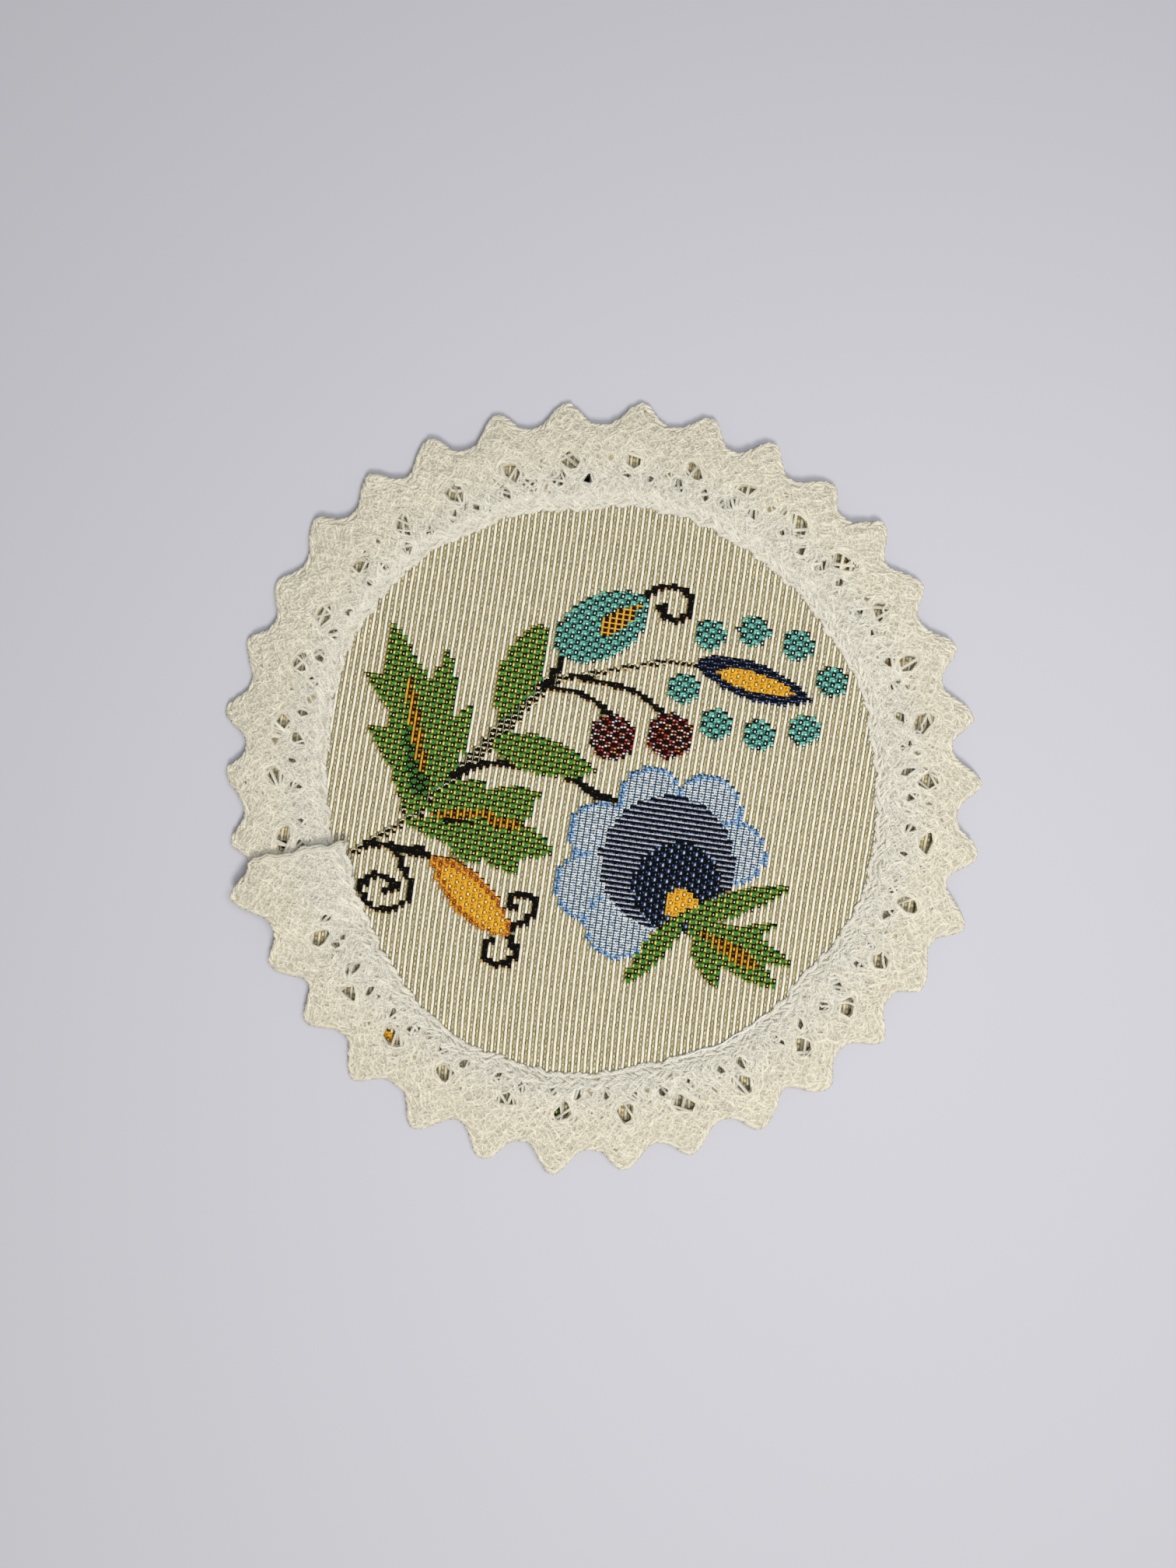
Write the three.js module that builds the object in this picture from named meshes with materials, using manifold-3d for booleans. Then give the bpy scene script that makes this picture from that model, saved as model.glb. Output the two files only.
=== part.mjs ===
// A round cloth coaster: a disc of ribbed jacquard cloth with a strip of cotton lace gathered round its rim.
// Millimetres, +Z up. The disc's underside lies on z = 0, and +Y is the top of the woven flower spray.

import * as THREE from 'three';
import { mergeVertices } from 'three/addons/utils/BufferGeometryUtils.js';
import Module from 'manifold-3d';

const wasm = await Module();
wasm.setup();

// The woven disc, cut by hand, so its edge strays a little, and sewn on a little off the lace's middle.
const discRadius = 53;
const discThickness = 1.2;
const discEdgeRound = 0.2;
const discMiddle = { x: -1.0, y: 0.8 };
const discWander = { wide: 0.4, wideWaves: 3, narrow: 0.2, narrowWaves: 7 };
const discSides = 90;

// The lace strip. It rides over the disc and sags towards the table past the disc's edge.
const clearance = 0.3;
const laceThickness = 1.0;
const laceBase = discThickness + clearance;
const laceLayer = laceThickness + clearance;
const sagStart = 53.5;
const sagEnd = 61;
const sagDepth = { mean: 0.8, swing: 0.25, waves: 5 };
const gatherHeight = 0.12;
const gatherCount = 17;
const stepsPerSide = 5;
const bandsAcross = 4;

// A notch lies a little past the middle between two tips, and a point's sides are this sharp.
const notchLag = 0.5;
const pointSharpness = 1.35;

// The folded end lies on top of the tail, and the strip comes down to its own level past the tail's end.
const foldedEnd = { angle: 191.8, reach: 57.0, seat: 41.5 };
const tail = { notch: 552, angle: 560.5, reach: 55.5, seat: 43.0 };
const comeDown = { from: 202, to: 209 };

// The open hole under each point.
const holeAcross = 2.6;
const holeDeep = 2.3;
const holeInset = 0.4;
const holeSides = 8;
const holeTurn = 0.5;
const plugHeight = 8;

// One row for each point, from the folded end round to the tail. tip is its direction in degrees, reach how
// far it stands from the middle, neck the same for the notch that follows it, seat the same for the inner edge
// behind it, hole the same for its open hole, and lean how far it bends clockwise.
const points = [
  { tip: 196.5, reach: 60.9, neck: 56.4, seat: 41.5, hole: null, lean: 0.2 },
  { tip: 208.0, reach: 59.7, neck: 55.8, seat: 42.6, hole: 51.0, lean: 0.3 },
  { tip: 218.5, reach: 60.0, neck: 56.7, seat: 43.5, hole: 51.9, lean: -0.4 },
  { tip: 229.5, reach: 61.0, neck: 57.3, seat: 45.0, hole: 53.1, lean: -0.5 },
  { tip: 240.5, reach: 61.8, neck: 57.4, seat: 45.9, hole: 53.5, lean: 0.2 },
  { tip: 252.0, reach: 61.8, neck: 57.3, seat: 45.7, hole: 53.0, lean: -0.3 },
  { tip: 262.5, reach: 61.7, neck: 57.3, seat: 45.8, hole: 53.1, lean: -0.3 },
  { tip: 273.0, reach: 60.6, neck: 56.7, seat: 44.8, hole: 52.3, lean: 0.1 },
  { tip: 283.5, reach: 59.7, neck: 55.8, seat: 44.1, hole: 51.8, lean: 0.0 },
  { tip: 294.5, reach: 59.6, neck: 55.3, seat: 44.7, hole: 52.0, lean: 0.5 },
  { tip: 307.0, reach: 59.6, neck: 55.8, seat: 44.2, hole: 51.8, lean: -0.6 },
  { tip: 317.5, reach: 59.7, neck: 55.9, seat: 43.2, hole: 51.8, lean: 0.0 },
  { tip: 327.5, reach: 59.6, neck: 57.2, seat: 44.2, hole: 52.3, lean: 0.6 },
  { tip: 338.5, reach: 61.1, neck: 55.9, seat: 44.2, hole: 52.3, lean: 0.3 },
  { tip: 349.5, reach: 60.0, neck: 55.9, seat: 43.5, hole: 52.0, lean: -0.1 },
  { tip: 360.5, reach: 59.7, neck: 55.2, seat: 43.0, hole: 51.4, lean: 0.1 },
  { tip: 370.5, reach: 59.5, neck: 55.8, seat: 42.8, hole: 51.4, lean: 0.3 },
  { tip: 381.5, reach: 60.0, neck: 56.2, seat: 43.5, hole: 51.8, lean: 0.2 },
  { tip: 392.0, reach: 59.6, neck: 56.7, seat: 42.8, hole: 51.9, lean: 0.5 },
  { tip: 403.0, reach: 60.6, neck: 56.7, seat: 43.2, hole: 51.8, lean: -0.1 },
  { tip: 412.5, reach: 59.9, neck: 56.7, seat: 43.3, hole: 51.7, lean: 0.2 },
  { tip: 423.5, reach: 60.4, neck: 56.5, seat: 43.7, hole: 51.9, lean: 0.0 },
  { tip: 433.5, reach: 60.6, neck: 57.7, seat: 44.3, hole: 52.3, lean: 0.0 },
  { tip: 444.0, reach: 60.9, neck: 57.0, seat: 44.5, hole: 52.4, lean: 0.0 },
  { tip: 455.5, reach: 60.8, neck: 57.5, seat: 43.6, hole: 51.9, lean: 0.1 },
  { tip: 466.0, reach: 61.0, neck: 57.2, seat: 45.0, hole: 52.3, lean: 0.1 },
  { tip: 476.5, reach: 61.4, neck: 57.8, seat: 45.0, hole: 52.3, lean: 0.5 },
  { tip: 487.0, reach: 61.6, neck: 58.4, seat: 46.0, hole: 53.4, lean: 0.1 },
  { tip: 497.0, reach: 62.1, neck: 58.8, seat: 46.0, hole: 53.6, lean: 0.4 },
  { tip: 508.0, reach: 60.8, neck: 57.9, seat: 45.9, hole: 53.2, lean: 0.2 },
  { tip: 517.5, reach: 60.8, neck: 58.0, seat: 45.2, hole: 52.6, lean: 0.2 },
  { tip: 528.5, reach: 61.0, neck: 56.7, seat: 44.1, hole: 52.0, lean: 0.0 },
  { tip: 537.5, reach: 59.5, neck: 56.7, seat: 43.8, hole: 52.3, lean: 0.4 },
  { tip: 548.5, reach: 59.4, neck: 57.0, seat: 43.6, hole: 51.3, lean: 0.1 },
];

const { degToRad, lerp, smoothstep } = THREE.MathUtils;

// A closed geometry as a solid that can be cut.
function solidFrom(geometry) {
  geometry.deleteAttribute('normal');
  geometry.deleteAttribute('uv');
  const merged = mergeVertices(geometry, 1e-5);
  return new wasm.Manifold(new wasm.Mesh({
    numProp: 3,
    vertProperties: new Float32Array(merged.attributes.position.array),
    triVerts: new Uint32Array(merged.index.array),
  }));
}

// A cut solid as a geometry again.
function geometryFrom(solid) {
  const mesh = solid.getMesh();
  const geometry = new THREE.BufferGeometry();
  geometry.setAttribute('position', new THREE.BufferAttribute(mesh.vertProperties, 3));
  geometry.setIndex(new THREE.BufferAttribute(mesh.triVerts, 1));
  geometry.computeVertexNormals();
  return geometry;
}

// The disc's outline, a circle with a slight wander, extruded with a small round on both edges.
function discGeometry() {
  const outline = [];
  for (let side = 0; side < discSides; side += 1) {
    const turn = (side / discSides) * Math.PI * 2;
    const wide = discWander.wide * Math.sin(discWander.wideWaves * turn);
    const narrow = discWander.narrow * Math.sin(discWander.narrowWaves * turn);
    const radius = discRadius - discEdgeRound + wide + narrow;
    outline.push(new THREE.Vector2(radius * Math.cos(turn), radius * Math.sin(turn)));
  }
  const geometry = new THREE.ExtrudeGeometry(new THREE.Shape(outline), {
    depth: discThickness - 2 * discEdgeRound,
    bevelThickness: discEdgeRound,
    bevelSize: discEdgeRound,
    bevelSegments: 1,
  });
  geometry.translate(discMiddle.x, discMiddle.y, discEdgeRound);
  return geometry;
}

// How high a point's side stands at a share of the way from the notch to the tip, from 0 to 1.
function pointRise(share, lean) {
  const bent = share ** (2 ** lean);
  return (0.5 - 0.5 * Math.cos(Math.PI * bent)) ** pointSharpness;
}

// The stations from one notch or tip up to the next one, which starts its own run.
function stationRun(from, to, rise) {
  return Array.from({ length: stepsPerSide }, (unused, step) => {
    const share = step / stepsPerSide;
    return {
      angle: lerp(from.angle, to.angle, share),
      reach: lerp(from.reach, to.reach, rise(share)),
      seat: lerp(from.seat, to.seat, share),
    };
  });
}

// The strip's outer and inner edge at each station along it, from the folded end to the tail.
function laceStations() {
  const stations = [];
  let notch = foldedEnd;
  points.forEach((point, row) => {
    const tip = { angle: point.tip, reach: point.reach, seat: point.seat };
    const next = points[row + 1];
    const after = {
      angle: next ? (point.tip + next.tip) / 2 + notchLag : tail.notch,
      reach: point.neck,
      seat: next ? (point.seat + next.seat) / 2 : tail.seat,
    };
    stations.push(...stationRun(notch, tip, (share) => pointRise(share, point.lean)));
    stations.push(...stationRun(tip, after, (share) => 1 - pointRise(1 - share, -point.lean)));
    notch = after;
  });
  stations.push(...stationRun(notch, tail, (share) => share), tail);
  return stations;
}

// The height of the lace's underside: small gathers, the sag past the disc, and the lift over the tail.
function laceUnderside(angle, radius) {
  const turn = degToRad(angle);
  const gathers = gatherHeight * (1 + Math.sin(gatherCount * turn));
  const sag = sagDepth.mean + sagDepth.swing * Math.sin(sagDepth.waves * turn);
  const fall = sag * smoothstep(radius, sagStart, sagEnd);
  const lift = laceLayer * (1 - smoothstep(angle, comeDown.from, comeDown.to));
  return laceBase + gathers - fall + lift;
}

// The strip as one closed skin: an underside and a top of quads, joined round the edges and both ends.
function laceGeometry() {
  const stations = laceStations();
  const rows = bandsAcross + 1;
  const perStation = rows * 2;
  const positions = [];
  stations.forEach(({ angle, reach, seat }) => {
    const turn = degToRad(angle);
    for (let row = 0; row < rows; row += 1) {
      const radius = lerp(seat, reach, row / bandsAcross);
      const low = laceUnderside(angle, radius);
      const x = radius * Math.cos(turn);
      const y = radius * Math.sin(turn);
      positions.push(x, y, low, x, y, low + laceThickness);
    }
  });
  const low = (station, row) => station * perStation + row * 2;
  const high = (station, row) => low(station, row) + 1;
  const index = [];
  const quad = (a, b, c, d) => index.push(a, b, c, a, c, d);
  const last = stations.length - 1;
  for (let at = 0; at < last; at += 1) {
    for (let row = 0; row < bandsAcross; row += 1) {
      quad(high(at, row), high(at, row + 1), high(at + 1, row + 1), high(at + 1, row));
      quad(low(at, row), low(at + 1, row), low(at + 1, row + 1), low(at, row + 1));
    }
    quad(low(at, 0), high(at, 0), high(at + 1, 0), low(at + 1, 0));
    quad(low(at, bandsAcross), low(at + 1, bandsAcross), high(at + 1, bandsAcross), high(at, bandsAcross));
  }
  for (let row = 0; row < bandsAcross; row += 1) {
    quad(low(0, row), low(0, row + 1), high(0, row + 1), high(0, row));
    quad(low(last, row), high(last, row), high(last, row + 1), low(last, row + 1));
  }
  const geometry = new THREE.BufferGeometry();
  geometry.setAttribute('position', new THREE.Float32BufferAttribute(positions, 3));
  geometry.setIndex(index);
  return geometry;
}

// An upright oval plug that cuts the hole behind one point.
function holePlug(point) {
  const turn = degToRad(point.tip + holeTurn);
  const distance = point.hole - holeInset;
  const plug = new THREE.CylinderGeometry(0.5, 0.5, plugHeight, holeSides);
  plug.rotateX(Math.PI / 2);
  plug.scale(holeDeep, holeAcross, 1);
  plug.rotateZ(turn);
  plug.translate(distance * Math.cos(turn), distance * Math.sin(turn), laceBase);
  return plug;
}

// The strip with its holes cut through. The folded end's own point is closed by the tail beneath it.
function openLaceGeometry() {
  let solid = solidFrom(laceGeometry());
  for (const point of points) {
    if (point.hole) {
      solid = solid.subtract(solidFrom(holePlug(point)));
    }
  }
  return geometryFrom(solid);
}

const wovenDisc = new THREE.Mesh(
  discGeometry(),
  new THREE.MeshStandardMaterial({ color: '#c8c2a6', roughness: 0.95, metalness: 0 }),
);
wovenDisc.name = 'woven_disc';

const laceEdging = new THREE.Mesh(
  openLaceGeometry(),
  new THREE.MeshStandardMaterial({ color: '#ded8c4', roughness: 0.95, metalness: 0 }),
);
laceEdging.name = 'lace_edging';

// The origin is under the middle of the whole coaster.
const coaster = new THREE.Group();
coaster.add(wovenDisc, laceEdging);
const middle = new THREE.Box3().setFromObject(coaster).getCenter(new THREE.Vector3());
coaster.position.set(-middle.x, -middle.y, 0);

export default coaster;
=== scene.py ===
import math
from functools import partial

import bpy
import numpy as np
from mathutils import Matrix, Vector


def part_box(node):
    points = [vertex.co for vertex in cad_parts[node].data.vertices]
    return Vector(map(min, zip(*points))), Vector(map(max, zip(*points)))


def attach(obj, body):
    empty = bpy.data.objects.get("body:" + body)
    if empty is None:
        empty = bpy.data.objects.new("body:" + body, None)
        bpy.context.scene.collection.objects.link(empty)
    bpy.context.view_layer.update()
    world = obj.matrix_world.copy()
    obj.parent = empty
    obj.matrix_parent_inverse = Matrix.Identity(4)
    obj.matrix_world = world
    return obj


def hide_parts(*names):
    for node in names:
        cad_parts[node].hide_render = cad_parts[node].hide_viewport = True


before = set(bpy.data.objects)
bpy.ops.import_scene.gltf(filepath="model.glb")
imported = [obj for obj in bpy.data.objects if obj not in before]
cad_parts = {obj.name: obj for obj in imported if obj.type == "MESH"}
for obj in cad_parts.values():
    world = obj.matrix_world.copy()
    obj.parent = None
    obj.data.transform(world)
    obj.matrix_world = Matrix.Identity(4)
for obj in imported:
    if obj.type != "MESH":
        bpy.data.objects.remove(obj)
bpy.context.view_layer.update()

mm = 0.001
bpy.ops.object.select_all(action="DESELECT")
bpy.context.scene.view_settings.view_transform = "Standard"
bpy.context.scene.view_settings.look = "None"


# colours, nodes and meshes

def toLinear(hexColour):
    parts = [int(hexColour[i:i + 2], 16) / 255 for i in (0, 2, 4)]
    return [c / 12.92 if c <= 0.04045 else ((c + 0.055) / 1.055) ** 2.4 for c in parts]


def solid(hexColour):
    return (*toLinear(hexColour), 1)


def addNode(material, kind, inputs=None, settings=None):
    # settings are the node's own, inputs are numbers or other nodes' outputs
    node = material.node_tree.nodes.new("ShaderNode" + kind)
    for name, value in (settings or {}).items():
        setattr(node, name, value)
    for name, value in (inputs or {}).items():
        socket = node.inputs[name]
        if isinstance(value, bpy.types.NodeSocket):
            material.node_tree.links.new(value, socket)
        else:
            socket.default_value = value
    return node


def mathNode(material, operation, *values):
    return addNode(material, "Math", dict(enumerate(values)), {"operation": operation}).outputs[0]


def fibreNoise(material, scale, detail):
    place = addNode(material, "TexCoord").outputs["Object"]
    return addNode(material, "TexNoise", {"Vector": place, "Scale": scale, "Detail": detail})


def startMaterial(name):
    material = bpy.data.materials.new(name)
    material.use_nodes = True
    material.node_tree.nodes.clear()
    return material


def endMaterial(material, inputs):
    surface = addNode(material, "BsdfPrincipled", inputs)
    addNode(material, "OutputMaterial", {"Surface": surface.outputs[0]})
    return material


def endThread(material, height, shades, strength, inputs):
    # a thread's own colour with painted shade, darker where height is low, and embossed by it
    thread = addNode(material, "Attribute", None, {"attribute_name": "thread"})
    ends = dict(zip(("From Min", "From Max", "To Min", "To Max"), shades))
    shade = addNode(material, "MapRange", {"Value": height, **ends})
    colour = addNode(material, "VectorMath", {0: thread.outputs["Color"], 1: shade.outputs[0]},
                     {"operation": "MULTIPLY"})
    bump = addNode(material, "Bump", {"Height": height, "Strength": strength, "Distance": 0.00006})
    return endMaterial(material, {"Base Color": colour.outputs[0], "Normal": bump.outputs[0], **inputs})


def colourMesh(mesh, colours, domain):
    layer = mesh.color_attributes.new("thread", "FLOAT_COLOR", domain)
    layer.data.foreach_set("color", np.c_[colours, np.ones(len(colours))].astype(np.float32).ravel())


def buildMesh(name, points, faces, material, colours=None, uvs=None):
    # faces are lists of corners, colours one per point, uvs one per face corner
    mesh = bpy.data.meshes.new(name)
    mesh.from_pydata(np.asarray(points, float).tolist(), [], faces)
    if colours is not None:
        colourMesh(mesh, colours, "POINT")
    if uvs is not None:
        layer = mesh.uv_layers.new(name="yarn")
        layer.uv.foreach_set("vector", np.asarray(uvs, np.float32).ravel())
    mesh.shade_smooth()
    mesh.materials.append(material)
    piece = bpy.data.objects.new(name, mesh)
    bpy.context.collection.objects.link(piece)
    return piece


def finishPiece(piece, slot, *nodes):
    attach(piece, "root")
    if nodes:
        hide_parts(*nodes)


# the lace strip's outline, point by point along the strip in the maker's order
# each row: tip angle, tip reach, neck after it, inner edge, middle of its large hole, lean

lace = {
    "rows": [
        (196.5, 60.9, 56.4, 41.5, None, 0.2), (208, 59.7, 55.8, 42.6, 51.0, 0.3),
        (218.5, 60.0, 56.7, 43.5, 51.9, -0.4), (229.5, 61.0, 57.3, 45.0, 53.1, -0.5),
        (240.5, 61.8, 57.4, 45.9, 53.5, 0.2), (252, 61.8, 57.3, 45.7, 53.0, -0.3),
        (262.5, 61.7, 57.3, 45.8, 53.1, -0.3), (273, 60.6, 56.7, 44.8, 52.3, 0.1),
        (283.5, 59.7, 55.8, 44.1, 51.8, 0), (294.5, 59.6, 55.3, 44.7, 52.0, 0.5),
        (307, 59.6, 55.8, 44.2, 51.8, -0.6), (317.5, 59.7, 55.9, 43.2, 51.8, 0),
        (327.5, 59.6, 57.2, 44.2, 52.3, 0.6), (338.5, 61.1, 55.9, 44.2, 52.3, 0.3),
        (349.5, 60.0, 55.9, 43.5, 52.0, -0.1), (360.5, 59.7, 55.2, 43.0, 51.4, 0.1),
        (370.5, 59.5, 55.8, 42.8, 51.4, 0.3), (381.5, 60.0, 56.2, 43.5, 51.8, 0.2),
        (392, 59.6, 56.7, 42.8, 51.9, 0.5), (403, 60.6, 56.7, 43.2, 51.8, -0.1),
        (412.5, 59.9, 56.7, 43.3, 51.7, 0.2), (423.5, 60.4, 56.5, 43.7, 51.9, 0),
        (433.5, 60.6, 57.7, 44.3, 52.3, 0), (444, 60.9, 57.0, 44.5, 52.4, 0),
        (455.5, 60.8, 57.5, 43.6, 51.9, 0.1), (466, 61.0, 57.2, 45.0, 52.3, 0.1),
        (476.5, 61.4, 57.8, 45.0, 52.3, 0.5), (487, 61.6, 58.4, 46.0, 53.4, 0.1),
        (497, 62.1, 58.8, 46.0, 53.6, 0.4), (508, 60.8, 57.9, 45.9, 53.2, 0.2),
        (517.5, 60.8, 58.0, 45.2, 52.6, 0.2), (528.5, 61.0, 56.7, 44.1, 52.0, 0),
        (537.5, 59.5, 56.7, 43.8, 52.3, 0.4), (548.5, 59.4, 57.0, 43.6, 51.3, 0.1),
    ],
    "foldedEnd": (191.8, 57.0, 41.5),   # angle, reach, inner edge
    "tailNotch": 552,
    "tail": (560.5, 55.5, 43.0),
    "notchLag": 0.5,
    "pointSharpness": 1.35,
    "underside": 1.5,                   # over the disc, in mm
    "lap": 1.3,
    "comeDown": (202, 209),
    "sagStart": 53.5, "sagEnd": 61, "sagDepth": 0.8, "sagSwing": 0.25, "sagWaves": 5,
    "gatherHeight": 0.12, "gatherCount": 17,
    "holeInset": 0.4,
    "holeTurn": 0.5,
}


def rampUp(x, low, high):
    t = np.clip((np.asarray(x, float) - low) / (high - low), 0, 1)
    return t * t * (3 - 2 * t)


def runsOf(flags):
    # where each run of true values starts, and where it has ended
    return np.flatnonzero(np.diff(np.r_[0, np.asarray(flags, int), 0])).reshape(-1, 2).tolist()


def waves(along, rows):
    # each row: height, rate and start of one wave
    return sum(height * np.sin(rate * along + start) for height, rate, start in rows)


def laceProfile():
    # angle, reach and lean of each end, tip and notch in turn; only a tip has a lean
    rows = lace["rows"]
    places = [(*lace["foldedEnd"][:2], None)]
    for i, (angle, tip, neck, seat, hole, lean) in enumerate(rows):
        after = rows[i + 1][0] if i + 1 < len(rows) else 2 * lace["tailNotch"] - angle - 2 * lace["notchLag"]
        places += [(angle, tip, lean), ((angle + after) / 2 + lace["notchLag"], neck, None)]
    return places + [(*lace["tail"][:2], None)]


profile = laceProfile()
seatAngles = [lace["foldedEnd"][0]] + [r[0] for r in lace["rows"]] + [lace["tail"][0]]
seatReach = [lace["foldedEnd"][2]] + [r[3] for r in lace["rows"]] + [lace["tail"][2]]


def outerEdge(angle):
    # the pointed edge's distance from the ring's middle, in mm
    angle = np.asarray(angle, float)
    result = np.full(angle.shape, profile[0][1])
    for (start, low, lean), (end, high, nextLean) in zip(profile, profile[1:]):
        share = np.clip((angle - start) / (end - start), 0, 1)
        if nextLean is None:              # falling from a tip
            up = (1 - share) ** (2 ** -(lean or 0))
            low, high = high, low
        else:
            up = share ** (2 ** nextLean)
        up = (0.5 - 0.5 * np.cos(math.pi * up)) ** lace["pointSharpness"]
        result = np.where((angle >= start) & (angle <= end), low + (high - low) * up, result)
    return result


def innerEdge(angle):
    return np.interp(angle, seatAngles, seatReach)


def laceUnderside(angle, radius):
    turn = np.radians(angle)
    sag = lace["sagDepth"] + lace["sagSwing"] * np.sin(lace["sagWaves"] * turn)
    height = lace["underside"] + lace["gatherHeight"] * (1 + np.sin(lace["gatherCount"] * turn))
    height = height - sag * rampUp(radius, lace["sagStart"], lace["sagEnd"])
    return height + lace["lap"] * (1 - rampUp(angle, *lace["comeDown"]))


edgeAngles = np.arange(lace["foldedEnd"][0], lace["tail"][0], 0.05)
edgeTurn, edgeFar = np.radians(edgeAngles), outerEdge(edgeAngles)
edgeX, edgeY = edgeFar * np.cos(edgeTurn), edgeFar * np.sin(edgeTurn)
middle = ((edgeX.max() + edgeX.min()) / 2, (edgeY.max() + edgeY.min()) / 2)
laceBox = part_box("lace_edging")
print("lace", round(edgeX.max() - edgeX.min(), 2), "by", round(edgeY.max() - edgeY.min(), 2),
      "mm, the solid", [round((laceBox[1][k] - laceBox[0][k]) / mm, 2) for k in (0, 1)])


# camera, floor and light. The photo's pixel is 0.1224 mm and its middle is the camera's place

view = {
    "pixel": 0.1224,
    "ringMiddle": (776, 1011),
    "photoMiddle": (756, 1008),
    "height": 180.2, "lens": 26, "sensor": 36,
    "floor": (3, "cfd0d8", 0.7),        # size in m, colour, roughness
    "room": ("eeedee", 0.24),           # colour and strength
    "lamps": {                          # place and size in m, power in W, colour
        "key": ((0.16, -0.70, 0.98), 0.34, 7.9, "fffaf2"),
        "fill": ((0.06, 0.0, 0.27), 0.14, 0.34, "fafaff"),
    },
}


def placeOf(x, y):
    # where a place in the photo, in its pixels, lies on the coaster, in mm
    return ((x - view["ringMiddle"][0]) * view["pixel"] - middle[0],
            (view["ringMiddle"][1] - y) * view["pixel"] - middle[1])


def makeStage():
    eye = placeOf(*view["photoMiddle"])
    bpy.ops.object.camera_add(location=(eye[0] * mm, eye[1] * mm, view["height"] * mm), rotation=(0, 0, 0))
    camera = bpy.context.object
    camera.name = "photo_camera"
    camera.data.lens = view["lens"]
    camera.data.sensor_fit = "VERTICAL"
    camera.data.sensor_height = view["sensor"]
    camera.data.clip_start = 0.01
    bpy.context.scene.camera = camera
    size, colour, roughness = view["floor"]
    bpy.ops.mesh.primitive_plane_add(size=size, location=(0, 0, 0))
    floor = bpy.context.object
    floor.name = "floor"
    # painted board: even, faintly lavender, hardly any gloss
    paint = startMaterial("pale_painted_board")
    endMaterial(paint, {"Base Color": solid(colour), "Roughness": roughness})
    floor.data.materials.append(paint)
    for name, (place, size, power, colour) in view["lamps"].items():
        bpy.ops.object.light_add(type="AREA", location=place)
        lamp = bpy.context.object
        lamp.name = name
        lamp.data.size = size
        lamp.data.energy = power
        lamp.data.color = toLinear(colour)
        lamp.rotation_euler = lamp.location.normalized().to_track_quat("Z", "Y").to_euler()
    world = bpy.data.worlds.new("room")
    world.use_nodes = True
    background = world.node_tree.nodes["Background"]
    background.inputs[0].default_value = solid(view["room"][0])
    background.inputs[1].default_value = view["room"][1]
    bpy.context.scene.world = world


makeStage()
print("stage set")


# the woven cloth: a lattice of ribs and pairs of weft picks, in mm

weave = {
    "ribPitch": 0.997,
    "pickPair": 0.822,
    "lean": 8.4,                        # degrees, the ribs' tops to the right
    "bow": (0.0157, -9.9e-6, 8),        # the ribs curve a little along their length
    "shares": [0.30, 0.18, 0.34, 0.18],  # rib, side, middle, side
    "faceHeight": 1.10,
    "faceInset": 0.2,                   # the face ends this far inside the cut edge
    "hiddenFrom": 46.5, "hiddenFully": 49.5, "picksTo": 44.6,       # mm from the ring's middle
    "cutRadius": 53.4,                  # the cut edge is hidden under the lace, and not quite round
    "cutWaves": ((0.2, 3), (0.15, 7)),
    "discMiddle": (-0.3, 0.2),
    "columns": 55, "halfRows": 132,
}
clothMiddle = (weave["discMiddle"][0] - middle[0], weave["discMiddle"][1] - middle[1])
leanTurn = math.radians(weave["lean"])


def cutEdge(turn):
    (wide, few), (narrow, many) = weave["cutWaves"]
    return weave["cutRadius"] + wide * np.cos(few * turn) + narrow * np.sin(many * turn)


def threadToPlace(across, along):
    # from thread coordinates to mm on the coaster
    first, third, centre = weave["bow"]
    across = across + first * along + third * (along - centre) ** 3
    x = clothMiddle[0] + across * math.cos(leanTurn) + along * math.sin(leanTurn)
    y = clothMiddle[1] - across * math.sin(leanTurn) + along * math.cos(leanTurn)
    return x, y


# the woven spray, set out in the photo's pixels

def almond(x, y, base, tip, width, bulge=0.5, fullness=0.8):
    # a leaf-like lobe from base to tip, widest at the share called bulge
    alongX, alongY = tip[0] - base[0], tip[1] - base[1]
    length = math.hypot(alongX, alongY)
    share = ((x - base[0]) * alongX + (y - base[1]) * alongY) / length ** 2
    side = np.abs((x - base[0]) * alongY - (y - base[1]) * alongX) / length
    inside = np.clip(share, 1e-6, 1 - 1e-6) ** (math.log(0.5) / math.log(bulge))
    return (share > 0) & (share < 1) & (side < width / 2 * np.sin(math.pi * inside) ** fullness)


def disc(x, y, middleX, middleY, radius, tall=1.0):
    return ((x - middleX) / radius) ** 2 + ((y - middleY) / (radius * tall)) ** 2 < 1


def stroke(x, y, width, *points):
    near = np.full(x.shape, 1e9)
    for (ax, ay), (bx, by) in zip(points, points[1:]):
        dx, dy = bx - ax, by - ay
        share = np.clip(((x - ax) * dx + (y - ay) * dy) / (dx * dx + dy * dy), 0, 1)
        near = np.minimum(near, np.hypot(x - ax - share * dx, y - ay - share * dy))
    return near < width / 2


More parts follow.
